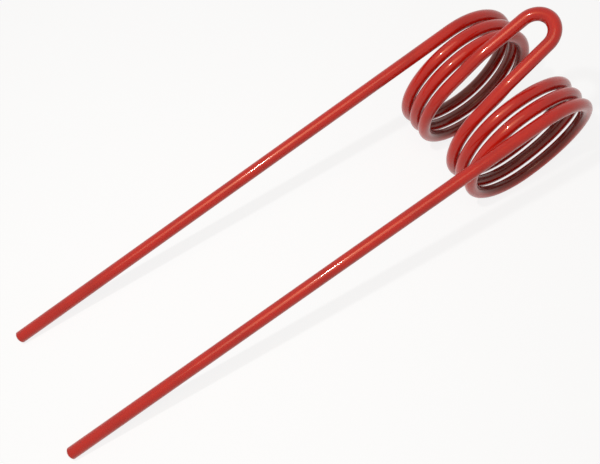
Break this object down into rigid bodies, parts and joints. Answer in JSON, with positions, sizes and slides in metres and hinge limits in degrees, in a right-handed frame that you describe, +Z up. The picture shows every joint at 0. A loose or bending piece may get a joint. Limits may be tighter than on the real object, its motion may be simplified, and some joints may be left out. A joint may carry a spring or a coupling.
{
  "type": "cultivator spring tine",
  "caption": "Double spring tine of round wire: long straight legs, close coils and a U-shaped bolt-on loop between them, painted.",
  "frame": {"origin": "on the floor, in the middle of the footprint of the tine as it lies", "axes": "+X along the common axis of the two coils, +Y from the leg ends towards the coils, +Z up from the floor"},
  "size_m": [0.092, 0.3813, 0.1182],
  "materials": {
    "paint": "gloss red enamel over spring steel wire"
  },
  "bodies": {
    "root": {"spring_tine": "paint"}
  },
  "joints": []
}
